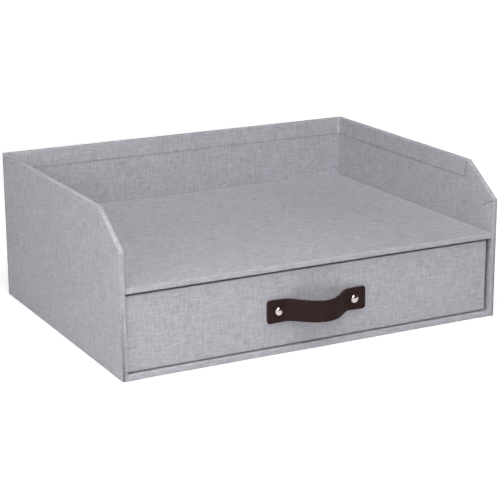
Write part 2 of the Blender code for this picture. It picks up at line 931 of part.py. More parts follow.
def add_carrier(name, location, carried):
    """An empty that moves the pieces of one body together."""
    carrier = bpy.data.objects.new(name, None)
    carrier.location = location
    PARTS.objects.link(carrier)
    bpy.context.view_layer.update()
    for piece in carried:
        piece.parent = carrier
        piece.matrix_parent_inverse = carrier.matrix_world.inverted()
    return carrier


def main():
    housing = build_housing()
    housing_cutters = list(CUTTERS.objects)
    drawer = build_drawer()
    drawer_cutters = [cutter for cutter in CUTTERS.objects if cutter not in housing_cutters]
    add_carrier("housing", (0, 0, 0), housing + housing_cutters)
    drawer_middle = (DRAWER_BOTTOM + DRAWER_TOP) / 2
    slide = add_carrier("drawer_slide", (0, DRAWER.front, drawer_middle), drawer + drawer_cutters)
    # The drawer lies loose in its bay, a little to the left of the middle
    slide.location.x = -DRAWER_LEFTWARD_SHARE * DRAWER_SIDE_CLEARANCE


main()
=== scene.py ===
import math

import bmesh
import bpy
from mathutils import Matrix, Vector


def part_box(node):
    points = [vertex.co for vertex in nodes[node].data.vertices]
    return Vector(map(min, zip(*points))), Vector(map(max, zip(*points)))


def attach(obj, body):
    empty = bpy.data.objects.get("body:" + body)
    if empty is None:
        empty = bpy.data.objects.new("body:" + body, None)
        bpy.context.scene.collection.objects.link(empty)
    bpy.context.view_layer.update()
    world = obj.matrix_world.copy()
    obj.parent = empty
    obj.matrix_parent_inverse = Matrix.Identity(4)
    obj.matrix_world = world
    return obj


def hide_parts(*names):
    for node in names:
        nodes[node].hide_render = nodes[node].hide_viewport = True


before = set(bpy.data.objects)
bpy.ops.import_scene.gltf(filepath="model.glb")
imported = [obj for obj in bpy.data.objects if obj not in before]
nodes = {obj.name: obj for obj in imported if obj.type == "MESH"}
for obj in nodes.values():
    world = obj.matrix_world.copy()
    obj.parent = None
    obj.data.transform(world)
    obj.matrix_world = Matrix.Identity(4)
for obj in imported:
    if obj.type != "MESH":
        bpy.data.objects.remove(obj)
bpy.context.view_layer.update()
print("frame loaded:", len(nodes), "nodes")


# Where the photograph was taken from
cameraView = {
    "place": (-0.598019, -1.149349, 0.415153),
    "turn": (1.2949341, 0.0038111, -0.484068),
    "lens": 114.917,
    "sensor": 36.0,
    "nearest": 0.05,
    "farthest": 60,
}

# A pale floor and white paper all round, under five soft lights
studio = {
    "floorSize": 14.0,
    "floorTiles": 8,
    "underDepth": 0.0005,
    "backdropWidth": 13.6,
    "backdropHeight": 5.0,
    "backdropSides": 96,
    "floorColour": (0.88, 0.88, 0.88),
    "floorMottle": 0.985,
    "floorMottleScale": 3.0,
    "floorRoughness": 0.9,
    "floorGloss": 0.1,
    "glowNear": (0.4, 0.4, 0.4),
    "glowFar": (0.97, 0.97, 0.97),
    "glowReach": 1.4,
    "horizonStrength": 0.9,
    "skyStrength": 0.05,
    "horizonLow": 0.05,
    "horizonHigh": 0.15,
    "horizonFaces": (0.0, 1.0, 0.0),
    "horizonFade": (0.1, 0.6),
    "lightsAim": (0, -0.08, 0.05),
    "softLights": {
        "topLight": {"place": (-0.2, -0.3, 0.9), "size": (0.7, 0.5), "power": 5.5},
        "frontTopLight": {"place": (-0.1, -0.9, 0.8), "size": (0.8, 0.6), "power": 3.3},
        "leftFrontLight": {"place": (-0.8, -1.9, 0.9), "size": (1.2, 0.9), "power": 10.5},
        "leftLight": {"place": (-0.8, -0.4, 0.35), "size": (0.5, 0.35), "power": 2.45},
        "rightLight": {"place": (1.1, 0.2, 0.45), "size": (0.8, 0.6), "power": 2.8},
    },
}


def addCamera():
    lens = bpy.data.cameras.new("photoCamera")
    lens.sensor_width = cameraView["sensor"]
    lens.lens = cameraView["lens"]
    lens.clip_start = cameraView["nearest"]
    lens.clip_end = cameraView["farthest"]
    camera = bpy.data.objects.new("photoCamera", lens)
    camera.location = cameraView["place"]
    camera.rotation_euler = cameraView["turn"]
    bpy.context.scene.collection.objects.link(camera)
    bpy.context.scene.camera = camera


def addSoftLight(name, place, size, power):
    lamp = bpy.data.lights.new(name, "AREA")
    lamp.shape = "RECTANGLE"
    lamp.size, lamp.size_y = size
    lamp.energy = power
    light = bpy.data.objects.new(name, lamp)
    light.visible_camera = False
    light.location = place
    towards = Vector(studio["lightsAim"]) - Vector(place)
    light.rotation_euler = towards.to_track_quat("-Z", "Y").to_euler()
    bpy.context.scene.collection.objects.link(light)


# One output socket. Sums, products and powers on it make Math nodes
class Wire:
    def __init__(self, sheet, socket):
        self.sheet = sheet
        self.socket = socket

    def math(self, operation, *others):
        return self.sheet.math(operation, self, *others)

    def __add__(self, other):
        return self.math("ADD", other)

    __radd__ = __add__

    def __sub__(self, other):
        return self.math("SUBTRACT", other)

    def __rsub__(self, other):
        return self.sheet.math("SUBTRACT", other, self)

    def __mul__(self, other):
        return self.math("MULTIPLY", other)

    __rmul__ = __mul__

    def __truediv__(self, other):
        return self.math("DIVIDE", other)

    def __rtruediv__(self, other):
        return self.sheet.math("DIVIDE", other, self)

    def __pow__(self, other):
        return self.math("POWER", other)

    def __gt__(self, other):
        return self.math("GREATER_THAN", other)

    def __mod__(self, other):
        return self.math("FLOORED_MODULO", other)


# The node tree of one finish
class Sheet:
    def __init__(self, name, tree=None):
        if tree is None:
            self.material = bpy.data.materials.new(name)
            self.material.use_nodes = True
            tree = self.material.node_tree
        self.tree = tree
        self.tree.nodes.clear()

    def node(self, kind, settings=None, links=None):
        made = self.tree.nodes.new(kind)
        for name, value in (settings or {}).items():
            setattr(made, name, value)
        for name, value in (links or {}).items():
            if isinstance(value, Wire):
                self.tree.links.new(value.socket, made.inputs[name])
            else:
                made.inputs[name].default_value = value
        return made

    def wire(self, kind, output, settings=None, links=None):
        return Wire(self, self.node(kind, settings, links).outputs[output])

    def math(self, operation, *values):
        return self.wire("ShaderNodeMath", 0, {"operation": operation}, dict(enumerate(values)))

    def vector(self, x, y, z=0.0):
        return self.wire("ShaderNodeCombineXYZ", 0, None, {0: x, 1: y, 2: z})

    def parts(self, vector):
        split = self.node("ShaderNodeSeparateXYZ", None, {0: vector})
        return [Wire(self, socket) for socket in split.outputs]

    def objectPlace(self):
        return self.wire("ShaderNodeTexCoord", "Object")

    def noise(self, place, scale, detail=2.0, roughness=0.5, dimensions="3D"):
        links = {"Vector": place, "Scale": scale, "Detail": detail, "Roughness": roughness}
        return self.wire("ShaderNodeTexNoise", "Fac", {"noise_dimensions": dimensions}, links)

    def between(self, value, low, high, first=0.0, last=1.0):
        settings = {"interpolation_type": "SMOOTHSTEP"}
        links = {"Value": value, "From Min": low, "From Max": high, "To Min": first, "To Max": last}
        return self.wire("ShaderNodeMapRange", 0, settings, links)

    def mix(self, share, first, second):
        settings = {"data_type": "RGBA", "blend_type": "MIX", "clamp_factor": True}
        return self.wire("ShaderNodeMix", 2, settings, {0: share, 6: first, 7: second})

    def lit(self, tone, light):
        return self.wire("ShaderNodeVectorMath", 0, {"operation": "SCALE"}, {0: tone, "Scale": light})

    def bump(self, height, depth):
        return self.wire("ShaderNodeBump", 0, None, {"Height": height, "Distance": depth, "Strength": 1.0})

    def surface(self, links):
        shader = self.node("ShaderNodeBsdfPrincipled", None, links)
        output = self.node("ShaderNodeOutputMaterial")
        self.tree.links.new(shader.outputs[0], output.inputs[0])
        return self.material


def colour(red, green, blue):
    return (red, green, blue, 1.0)


def darker(base, share):
    return colour(*(value * share for value in base))


def stageSheet(name, shape, height, finish):
    mesh = bpy.data.meshes.new(name)
    shape.to_mesh(mesh)
    shape.free()
    mesh.materials.append(finish)
    sheet = bpy.data.objects.new(name, mesh)
    sheet.location.z = height
    bpy.context.scene.collection.objects.link(sheet)
    return sheet


def floorSheet(name, height, finish):
    shape = bmesh.new()
    tiles = studio["floorTiles"]
    bmesh.ops.create_grid(shape, x_segments=tiles, y_segments=tiles, size=studio["floorSize"] / 2)
    return stageSheet(name, shape, height, finish)


# The floor is seen as backlit white paper. A plain pale sheet under it throws the lights back on the box
def addFloor():
    base = studio["floorColour"]
    sheet = Sheet("paleFloor")
    place = sheet.objectPlace()
    mottle = sheet.noise(place, studio["floorMottleScale"])
    away = sheet.wire("ShaderNodeVectorMath", "Value", {"operation": "LENGTH"}, {0: place})
    glow = (away / studio["glowReach"]).math("MINIMUM", 1.0)
    seen = floorSheet("floor", 0.0, sheet.surface({
        "Base Color": sheet.mix(mottle, darker(base, studio["floorMottle"]), colour(*base)),
        "Roughness": studio["floorRoughness"],
        "Specular IOR Level": studio["floorGloss"],
        "Emission Color": sheet.mix(glow, colour(*studio["glowNear"]), colour(*studio["glowFar"])),
        "Emission Strength": 1.0,
    }))
    seen.visible_diffuse = False
    seen.visible_shadow = False
    under = floorSheet("floorUnder", -studio["underDepth"], Sheet("plainFloor").surface({
        "Base Color": colour(*base),
        "Roughness": studio["floorRoughness"],
    }))
    under.visible_camera = False
    under.visible_glossy = False


# White paper stands all round, far off. Only the camera sees it, so it throws no light on the box
def addBackdrop():
    shape = bmesh.new()
    reach = studio["backdropWidth"] / 2
    bmesh.ops.create_cone(
        shape, segments=studio["backdropSides"],
        radius1=reach, radius2=reach, depth=2 * studio["backdropHeight"],
    )
    backdrop = stageSheet("backdrop", shape, 0.0, Sheet("whitePaper").surface({
        "Base Color": colour(0, 0, 0),
        "Roughness": 1.0,
        "Specular IOR Level": 0.0,
        "Emission Color": colour(1, 1, 1),
        "Emission Strength": 1.0,
    }))
    backdrop.visible_diffuse = False
    backdrop.visible_glossy = False
    backdrop.visible_shadow = False


# The sky lights the box: white at the horizon behind it, and dim overhead and in front
def addSky():
    world = bpy.data.worlds.new("studioSky")
    world.use_nodes = True
    bpy.context.scene.world = world
    sheet = Sheet("studioSky", world.node_tree)
    direction = sheet.wire("ShaderNodeTexCoord", "Generated")
    height = sheet.parts(direction)[2]
    behind = sheet.wire("ShaderNodeVectorMath", "Value", {"operation": "DOT_PRODUCT"}, {
        0: direction, 1: studio["horizonFaces"],
    })
    horizon = sheet.between(height, studio["horizonLow"], studio["horizonHigh"], 1.0, 0.0)
    glow = sheet.between(behind, *studio["horizonFade"], 0.0, studio["horizonStrength"])
    background = sheet.node("ShaderNodeBackground", None, {
        "Color": colour(1, 1, 1),
        "Strength": studio["skyStrength"] + horizon * glow,
    })
    output = sheet.node("ShaderNodeOutputWorld")
    sheet.tree.links.new(background.outputs[0], output.inputs[0])


def setStudio():
    addCamera()
    addFloor()
    addBackdrop()
    addSky()
    for name, light in studio["softLights"].items():
        addSoftLight(name, **light)
    view = bpy.context.scene.view_settings
    view.view_transform = "Standard"
    view.look = "None"


setStudio()
print("studio set")


# Woven paper cloth of the covers and linings
coverCloth = {
    "colour": (0.408, 0.406, 0.44),
    "threadPitch": 0.00055,
    "slubLength": 0.009,
    "threadContrast": 0.42,
    "threadApart": 7.31,  # how far apart two threads read the noise, so that they differ
    "toneSpread": 2.4,
    # how strongly the threads' height paints shade into the valleys and lightens the crowns
    "reliefPaintedShade": 0.9,
    "sinking": 0.45,  # how much of its height a thread loses beside its neighbours
    "streakWidth": 0.0013,
    "warpStreakLength": 0.014,
    "weftStreakLength": 0.009,
    "streakContrast": 0.06,
    "mottleSize": 0.05,
    "mottleContrast": 0.04,
    "threadHeight": 0.00007,
    "toneRelief": 0.5,
    # how much lighter the folds are painted: partly a painted highlight, partly worn threads
    "foldHighlightAndWear": 0.06,
    "foldTurn": (0.01, 0.2),
    "roughness": 0.86,
    "gloss": 0.25,
    "seeds": {"warp": 3.7, "weft": 91.3, "upStreaks": 11.1, "acrossStreaks": 47.9},
}

flatFacing = 0.7  # a face lies across an axis where its normal has more than this along it


# Across and up a face, in metres, whichever way it looks, and how far it is turned on a fold
def clothPlace(sheet):
    place = sheet.parts(sheet.objectPlace())
    normal = sheet.wire("ShaderNodeNewGeometry", "True Normal")
    facing = [part.math("ABSOLUTE") for part in sheet.parts(normal)]
    toSide = facing[0] > flatFacing
    toTop = facing[2] > flatFacing
    across = place[0] * (1 - toSide) + place[1] * toSide
    up = place[2] * (1 - toTop) + place[1] * toTop
    fold = 1 - facing[0].math("MAXIMUM", facing[1]).math("MAXIMUM", facing[2])
    return across, up, fold


# The threads that run one way: their tone, and how they stand up between their neighbours
def threadSet(sheet, across, along, cloth, seed):
    count = across / cloth["threadPitch"]
    index = count.math("FLOOR")
    inside = count - index
    spread = sheet.vector(index * cloth["threadApart"] + seed, along / cloth["slubLength"])
    tone = sheet.noise(spread, 1.0, 1.0, 0.5, "2D")
    height = (inside * math.pi).math("SINE")
    return index, tone, height


def streaks(sheet, across, along, width, length, seed):
    spread = sheet.vector(across / width + seed, along / length)
    return sheet.noise(spread, 1.0, 2.0, 0.6, "2D")


# 1 where a lining lies under the flaps, which is within their width of the front, slope or top edge. Painted
# shade darkens the lining there
def underFlaps(sheet, rim):
    place = sheet.parts(sheet.objectPlace())
    (footY, footZ), (topY, topZ) = rim["slopeFoot"], rim["slopeTop"]
    length = math.hypot(topY - footY, topZ - footZ)
    rise = (topZ - footZ) / length
    run = (topY - footY) / length
    fromFront = place[1] - footY
    fromSlope = fromFront * rise - (place[2] - footZ) * run
    nearest = fromSlope.math("MINIMUM", fromFront).math("MINIMUM", topZ - place[2])
    return 1 - (nearest > rim["width"])


def clothFinish(name, cloth, rim=None):
    sheet = Sheet(name)
    seeds = cloth["seeds"]
    spread = cloth["toneSpread"]
    sinking = cloth["sinking"]
    across, up, fold = clothPlace(sheet)
    warpIndex, warpTone, warpHeight = threadSet(sheet, across, up, cloth, seeds["warp"])
    weftIndex, weftTone, weftHeight = threadSet(sheet, up, across, cloth, seeds["weft"])
    warpOver = (warpIndex + weftIndex) % 2
    warpShown = warpOver * warpHeight * ((1 - sinking) + sinking * weftHeight)
    weftShown = (1 - warpOver) * weftHeight * ((1 - sinking) + sinking * warpHeight)
    overHeight = warpShown + weftShown
    tone = warpOver * warpTone + (1 - warpOver) * weftTone
    width = cloth["streakWidth"]
    upStreaks = streaks(sheet, across, up, width, cloth["warpStreakLength"], seeds["upStreaks"])
    acrossStreaks = streaks(sheet, up, across, width, cloth["weftStreakLength"], seeds["acrossStreaks"])
    mottle = sheet.noise(sheet.objectPlace(), 1 / cloth["mottleSize"], 2.0)
    # The thread height paints the crowns lighter and the valleys between threads darker: painted shade of the
    # weave's relief
    light = 1 + cloth["threadContrast"] * ((tone - 0.5) * spread + (overHeight - 0.5) * cloth["reliefPaintedShade"])
    light = light + cloth["streakContrast"] * ((upStreaks - 0.5) * spread + (acrossStreaks - 0.5) * spread)
    light = light + cloth["mottleContrast"] * (mottle - 0.5) * 2
    # Folds painted lighter: partly a painted highlight where they catch the light, partly worn threads
    light = light + cloth["foldHighlightAndWear"] * sheet.between(fold, *cloth["foldTurn"]) * (0.5 + tone)
    # Painted shade where the lining lies under the flaps, seen in the gaps between flaps and just past their
    # edges
    if rim:
        light = light * (1 - underFlaps(sheet, rim) * (1 - rim["shadeLightness"]))
    return sheet.surface({
        "Base Color": sheet.lit(cloth["colour"], light),
        "Roughness": cloth["roughness"],
        "Specular IOR Level": cloth["gloss"],
        "Normal": sheet.bump(overHeight + cloth["toneRelief"] * tone, cloth["threadHeight"]),
    })


def plainMesh(source):
    bpy.context.view_layer.update()
    return bpy.data.meshes.new_from_object(source.evaluated_get(bpy.context.evaluated_depsgraph_get()))


foldedPaper = {
    "weldDistance": 0.00001,
    "sharpAngle": math.radians(38),
    "flatFaceWeight": 100,
}


# A smooth copy of a folded cover, whose own mesh is loose triangles
def foldedCopy(node, name, body):
    shape = bmesh.new()
    shape.from_mesh(nodes[node].data)
    bmesh.ops.remove_doubles(shape, verts=shape.verts, dist=foldedPaper["weldDistance"])
    bmesh.ops.dissolve_degenerate(shape, edges=shape.edges, dist=foldedPaper["weldDistance"])
    mesh = bpy.data.meshes.new(name)
    shape.to_mesh(mesh)
    shape.free()
    mesh.shade_smooth()
    mesh.set_sharp_from_angle(angle=foldedPaper["sharpAngle"])
    rough = bpy.data.objects.new(name + "Rough", mesh)
    bpy.context.scene.collection.objects.link(rough)
    weigh = rough.modifiers.new("flatFacesStayFlat", "WEIGHTED_NORMAL")
    weigh.mode = "FACE_AREA"
    weigh.weight = foldedPaper["flatFaceWeight"]
    weigh.keep_sharp = True
    piece = bpy.data.objects.new(name, plainMesh(rough))
    piece.data.name = name
    bpy.data.objects.remove(rough)
    bpy.context.scene.collection.objects.link(piece)
    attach(piece, body)
    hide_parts(node)
    return piece


clothMaterial = clothFinish("greyWovenCover", coverCloth)
for node, name, body in (
    ("outer_wrap", "housingCover", "housing"),
    ("shelf_cover", "trayFloorCover", "housing"),
    ("base_cover", "bayFloorCover", "housing"),
    ("drawer_wrap", "drawerCover", "drawer"),
):
    piece = foldedCopy(node, name, body)
    piece.data.materials.append(clothMaterial)
print("covers made")


def assign(node, material):
    data = nodes[node].data
    data.materials.clear()
    data.materials.append(material)


# Painted shade on a lining where it lies under the flaps: it shows dark in the narrow gaps where two flaps
# meet, and as a thin painted shadow just past the flaps' edges
paintedGapShade = {
    "width": 0.01535,
    "shadeLightness": 0.45,
    "slopeFoot": (-0.125, 0.1),
    "slopeTop": (-0.0866, 0.126),
}

gapShadedLining = clothFinish("greyWovenLiningPaintedShade", coverCloth, paintedGapShade)
for node in ("left_lining", "right_lining", "back_lining"):
    assign(node, gapShadedLining)
for node in ("drawer_wall_lining", "drawer_floor_lining"):
    assign(node, clothMaterial)
print("linings finished")


# Plain backing paper, under the box and the drawer and on the ceiling of the drawer bay
backingPaper = {
    "colour": (0.19, 0.19, 0.205),
    "fibreLength": 0.0011,
    "fibreContrast": 0.16,
    "fibreLevel": 0.8,
    "cloudSize": 0.03,
    "cloudContrast": 0.06,
    "cloudRange": (0.3, 0.7),
    "fibreHeight": 0.00003,
    "roughness": (0.75, 0.88),
    "gloss": 0.3,
}


def paperFinish(name, paper):
    sheet = Sheet(name)
    place = sheet.objectPlace()
    bend = sheet.noise(place, 1 / (4 * paper["fibreLength"]), 1.0)
    fibres = sheet.noise(place, 1 / paper["fibreLength"], 4.0, 0.7)
    ridges = 1 - 2 * (fibres - 0.5).math("ABSOLUTE")
    cloud = sheet.noise(place, 1 / paper["cloudSize"], 3.0)
    light = 1 + paper["fibreContrast"] * ((ridges - paper["fibreLevel"]) * 2 + (bend - 0.5))
    light = light + paper["cloudContrast"] * (cloud - 0.5) * 2
    return sheet.surface({
        "Base Color": sheet.lit(paper["colour"], light),
        "Roughness": sheet.between(cloud, *paper["cloudRange"], *paper["roughness"]),
        "Specular IOR Level": paper["gloss"],
        "Normal": sheet.bump(ridges, paper["fibreHeight"]),
    })


paperMaterial = paperFinish("darkBackingPaper", backingPaper)
for node in ("underside_sheet", "drawer_underside_sheet", "shelf_lining"):
    assign(node, paperMaterial)
print("backing paper finished")


# Grey board of the panels, pressed from waste paper
pressedBoard = {
    "light": (0.36, 0.335, 0.3),
    "dark": (0.24, 0.225, 0.21),
    "toneRange": (0.35, 0.65),
    "cloudSize": 0.0192,
    "cloudRelief": 0.5,
    "grainSize": 0.00048,
    "grainTone": 0.3,
    "grainHeight": 0.00008,
    "fleckSize": 0.0016,
    "fleckRange": (0.4, 0.15),
    "fleckShare": 0.16,
    "fleckStrength": 0.7,
    "darkFleck": (0.1, 0.11, 0.14),
    "lightFleck": (0.55, 0.5, 0.42),
    "roughness": 0.92,
    "gloss": 0.2,
}


def boardFinish(name, board):
    sheet = Sheet(name)
    place = sheet.objectPlace()
    cloud = sheet.noise(place, 1 / board["cloudSize"], 4.0, 0.6)
    grain = sheet.noise(place, 1 / board["grainSize"], 3.0, 0.7)
    cells = sheet.node("ShaderNodeTexVoronoi", None, {"Vector": place, "Scale": 1 / board["fleckSize"]})
    chance, shade = sheet.parts(Wire(sheet, cells.outputs["Color"]))[:2]
    distance = Wire(sheet, cells.outputs["Distance"])
    fleck = (1 - (chance > board["fleckShare"])) * sheet.between(distance, *board["fleckRange"])
    tone = sheet.between(cloud + board["grainTone"] * (grain - 0.5), *board["toneRange"])
    painted = sheet.mix(tone, colour(*board["dark"]), colour(*board["light"]))
    flecks = sheet.mix(shade, colour(*board["darkFleck"]), colour(*board["lightFleck"]))
    return sheet.surface({
        "Base Color": sheet.mix(fleck * board["fleckStrength"], painted, flecks),
        "Roughness": board["roughness"],
        "Specular IOR Level": board["gloss"],
        "Normal": sheet.bump(grain + board["cloudRelief"] * cloud, board["grainHeight"]),
    })


boardMaterial = boardFinish("pressedGreyBoard", pressedBoard)
for node in (
    "left_side_board", "right_side_board", "back_board", "base_board", "shelf_board",
    "drawer_front_board", "drawer_back_board", "drawer_left_board", "drawer_right_board", "drawer_base_board",
):
    assign(node, boardMaterial)
print("boards finished")


# Leather strap, bowed out from the drawer's front
strapSizes = {
    "length": 0.088,
    "endWidth": 0.0195,
    "waistWidth": 0.018,
    "thickness": 0.0022,
    "cornerRound": 0.0032,
    "edgeRound": 0.0006,
    "edgeFill": 0.98,  # the most of half the thickness that an edge is rounded by
    "edgeFade": 0.0007,
    "taper": 0.7,
    "fingerGap": 0.0176,
    "bowLength": 0.058,
    "toeReach": 0.007,
    "crownReach": 0.0135,
    "bendSteps": 400,
    "stations": 200,
    "heightSteps": 22,
    "edgeSteps": 5,
    "dentDepth": 0.00012,
    "dentReach": 0.0016,
    "sharpAngle": math.radians(50),
}

strapLow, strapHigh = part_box("handle_strap")
strapBack = strapHigh[1]
strapMiddle = (strapLow[0] + strapHigh[0]) / 2
handleHeight = (strapLow[2] + strapHigh[2]) / 2

# The rivets' caps also press a dent into the strap
rivetSizes = {
    "spacing": 0.0677,
    "capWidth": 0.0069,
    "capHeight": 0.0017,
    "capRim": 0.0002,
    "domeShape": 1.5,
    "shankWidth": 0.003,
    "tailWidth": 0.0046,
    "tailHeight": 0.0008,
    "ringSteps": 48,
    "profileSteps": 50,
    "mergeDistance": 0.000004,
    "sharpAngle": math.radians(40),
}


def curvePoint(first, handle, nextHandle, last, share):
    rest = 1 - share
    start = rest ** 3 * first + 3 * rest ** 2 * share * handle
    return start + 3 * rest * share ** 2 * nextHandle + share ** 3 * last


# The strap from above, through the middle of its thickness, from its left end to its right end
def strapLine():
    end = strapSizes["length"] / 2
    toe = strapSizes["bowLength"] / 2
    flat = strapBack - strapSizes["thickness"] / 2
    crown = flat - strapSizes["fingerGap"]
    toeIn = toe - strapSizes["toeReach"]
    reach = strapSizes["crownReach"]
    bends = (
        ((-end, flat), (-end, flat), (-toe, flat), (-toe, flat)),
        ((-toe, flat), (-toeIn, flat), (-reach, crown), (0, crown)),
        ((0, crown), (reach, crown), (toeIn, flat), (toe, flat)),
        ((toe, flat), (toe, flat), (end, flat), (end, flat)),
    )
    fine = []
    for bend in bends:
        for step in range(strapSizes["bendSteps"]):
            share = step / strapSizes["bendSteps"]
            fine.append(Vector([curvePoint(*(corner[axis] for corner in bend), share) for axis in (0, 1)]))
    fine.append(Vector((end, flat)))
    return evenlySpaced(fine, strapSizes["stations"])


# Points at even distances along a finely drawn line, each with the length reached there
def evenlySpaced(fine, count):
    reached = [0.0]
    for before, after in zip(fine, fine[1:]):
        reached.append(reached[-1] + (after - before).length)
    spaced = []
    index = 0
    for step in range(count + 1):
        aimed = reached[-1] * step / count
        while index < len(fine) - 2 and reached[index + 1] < aimed:
            index += 1
        span = reached[index + 1] - reached[index]
        share = (aimed - reached[index]) / span if span > 0 else 0
        spaced.append((aimed, fine[index].lerp(fine[index + 1], min(share, 1))))
    return spaced


def strapHalfWidth(across):
    waist = strapSizes["waistWidth"] / 2
    end = strapSizes["endWidth"] / 2
    share = abs(across) / (strapSizes["length"] / 2)
    taper = strapSizes["taper"]
    return waist + (end - waist) * share ** 2 * (1 + taper - taper * share)


# How far an edge draws in where a corner is rounded, at a distance from the end
def roundedIn(distance, radius):
    if distance >= radius:
        return 0.0
    return radius - math.sqrt(max(0.0, radius ** 2 - (radius - distance) ** 2))


# The strap's cross-section, a rectangle with round edges: (up, out, 1 on a cut edge) all the way round
def strapSection(halfWidth, halfThick, edgeRound):
    points = []
    for step in range(strapSizes["heightSteps"] + 1):
        up = (halfWidth - edgeRound) * (2 * step / strapSizes["heightSteps"] - 1)
        points.append((up, halfThick, 0.0))
    for step in range(1, strapSizes["edgeSteps"] + 1):
        turn = math.pi / 2 * step / strapSizes["edgeSteps"]
        up = halfWidth - edgeRound * (1 - math.sin(turn))
        points.append((up, halfThick - edgeRound * (1 - math.cos(turn)), 1.0))
    mirrored = [(-up, -out, edge) for up, out, edge in points]
    return points + mirrored


# How deep the leather is pressed in round the rivets' caps
def dentAt(across, up):
    depth = 0.0
    for sign in (-1, 1):
        away = math.hypot(across - sign * rivetSizes["spacing"] / 2, up)
        beyond = max(0.0, away - rivetSizes["capWidth"] / 2)
        depth += strapSizes["dentDepth"] * math.exp(-((beyond / strapSizes["dentReach"]) ** 2))
    return depth


def makeStrap():
    line = strapLine()
    total = line[-1][0]
    shape = bmesh.new()
    edgeLayer = shape.verts.layers.float.new("cutEdge")
    rings = []
    for index, (reached, point) in enumerate(line):
        before = line[max(index - 1, 0)][1]
        after = line[min(index + 1, len(line) - 1)][1]
        along = (after - before).normalized()
        out = Vector((along.y, -along.x))
        fromEnd = min(reached, total - reached)
        halfWidth = strapHalfWidth(point.x) - roundedIn(fromEnd, strapSizes["cornerRound"])
        halfThick = strapSizes["thickness"] / 2 - roundedIn(fromEnd, strapSizes["edgeRound"])
        edgeRound = min(strapSizes["edgeRound"], halfThick * strapSizes["edgeFill"])
        ring = []
        for up, thick, edge in strapSection(halfWidth, halfThick, edgeRound):
            if thick > 0:
                thick -= dentAt(point.x, up)
            spot = point + out * thick
            vert = shape.verts.new((strapMiddle + spot.x, spot.y, handleHeight + up))
            nearest = min(halfWidth - abs(up), fromEnd)
            vert[edgeLayer] = max(edge, math.exp(-max(nearest, 0) / strapSizes["edgeFade"]))
            ring.append(vert)
        rings.append(ring)
    for first, last in zip(rings, rings[1:]):
        for index in range(len(first)):
            after = (index + 1) % len(first)
            shape.faces.new((first[index], first[after], last[after], last[index]))
    for ring in (rings[0], rings[-1]):
        shape.faces.new(ring)
    bmesh.ops.recalc_face_normals(shape, faces=shape.faces)
    mesh = bpy.data.meshes.new("leatherStrap")
    shape.to_mesh(mesh)
    shape.free()
    mesh.shade_smooth()
    mesh.set_sharp_from_angle(angle=strapSizes["sharpAngle"])
    strap = bpy.data.objects.new("leatherStrap", mesh)
    bpy.context.scene.collection.objects.link(strap)
    return strap


leather = {
    "colour": (0.0275, 0.014, 0.0134),
    "highColour": (0.0385, 0.0205, 0.0192),
    "highShare": 0.6,
    "edgeColour": (0.038, 0.021, 0.0202),
    "edgeShare": 0.8,
    "edgeRange": (0.35, 0.95),
    "poreColour": (0.0195, 0.0095, 0.0091),
    "poreShare": 0.2,
    "poreSpread": 0.8,
    "poreSize": 0.0005,
    "poreRelief": 0.35,
    "poreRoughness": 0.1,
    "grainSize": 0.0011,
    "grainSoftness": 0.35,
    "grainRange": (0.55, 0.15),
    "grainHeight": 0.00007,
    "grainPolish": 0.12,
    "grainBendScale": 900.0,
    "grainBend": 0.0007,
    "cloudSize": 0.012,
    "cloudShare": 0.65,
    "roughness": 0.7,
    "gloss": 0.08,
}


def leatherFinish(name):
    sheet = Sheet(name)
    place = sheet.objectPlace()
    warp = sheet.wire("ShaderNodeTexNoise", "Color", None, {
        "Vector": place, "Scale": leather["grainBendScale"], "Detail": 1.0,
    })
    bent = sheet.wire("ShaderNodeVectorMath", 0, {"operation": "MULTIPLY_ADD"}, {
        0: warp, 1: (leather["grainBend"],) * 3, 2: place,
    })
    pebbles = sheet.wire("ShaderNodeTexVoronoi", "Distance", {"feature": "SMOOTH_F1"}, {
        "Vector": bent, "Scale": 1 / leather["grainSize"], "Smoothness": leather["grainSoftness"],
    })
    pores = sheet.noise(place, 1 / leather["poreSize"], 3.0, 0.65)
    cloud = sheet.noise(place, 1 / leather["cloudSize"], 3.0)
    edge = sheet.wire("ShaderNodeAttribute", "Fac", {"attribute_name": "cutEdge"})
    clouded = (1 - leather["cloudShare"]) + leather["cloudShare"] * cloud
    high = sheet.between(pebbles, *leather["grainRange"]) * clouded
    worn = sheet.mix(high * leather["highShare"], colour(*leather["colour"]), colour(*leather["highColour"]))
    pored = (pores - 0.5) * leather["poreSpread"] + leather["poreShare"]
    mottled = sheet.mix(pored, worn, colour(*leather["poreColour"]))
    burnished = sheet.between(edge, *leather["edgeRange"])
    roughness = leather["roughness"] - leather["grainPolish"] * high + leather["poreRoughness"] * pores
    relief = high * (1 - burnished) + leather["poreRelief"] * pores
    return sheet.surface({
        "Base Color": sheet.mix(burnished * leather["edgeShare"], mottled, colour(*leather["edgeColour"])),
        "Roughness": roughness,
        "Specular IOR Level": leather["gloss"],
        "Normal": sheet.bump(relief, leather["grainHeight"]),
    })


strap = makeStrap()
strap.data.materials.append(leatherFinish("darkBrownLeather"))
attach(strap, "drawer")
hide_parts("handle_strap")
print("strap made")


# Nickel of the rivets that hold the strap, and of the washers they are closed on
nickelPlate = {
    "colour": (0.51, 0.465, 0.43),
    "darkShare": 0.93,
    "cloudScale": 900.0,
    "scratchSize": 0.0004,
    "scratchHeight": 0.000004,
    "scratchStretch": (1.0, 1.0, 9.0),
    "scratchRange": (0.55, 0.75),
    "roughness": 0.06,
    "dullRoughness": 0.07,
    "cloudRoughness": 0.04,
}


